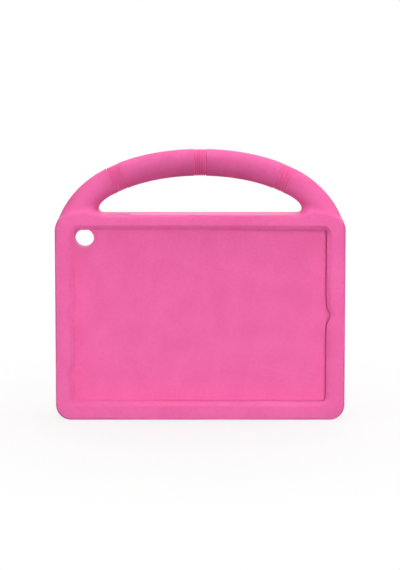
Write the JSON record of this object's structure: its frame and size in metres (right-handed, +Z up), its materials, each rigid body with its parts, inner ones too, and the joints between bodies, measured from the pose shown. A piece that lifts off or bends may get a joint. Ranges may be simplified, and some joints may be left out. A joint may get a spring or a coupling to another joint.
{
  "type": "foam tablet case",
  "caption": "Moulded foam case for a tablet, with a chamfered front window, a pocket behind it and an arched carrying handle with grip bands.",
  "frame": {"origin": "middle of the bottom edge's flat, at mid-depth", "axes": "+X to the right along the width, +Y towards the back, +Z up through the handle; the window faces -Y"},
  "size_m": [0.2624, 0.026, 0.2465],
  "materials": {
    "eva_foam": "matt pink moulded EVA foam, fine skin with a faint mottle"
  },
  "bodies": {
    "root": {"foam_case": "eva_foam"}
  },
  "joints": []
}
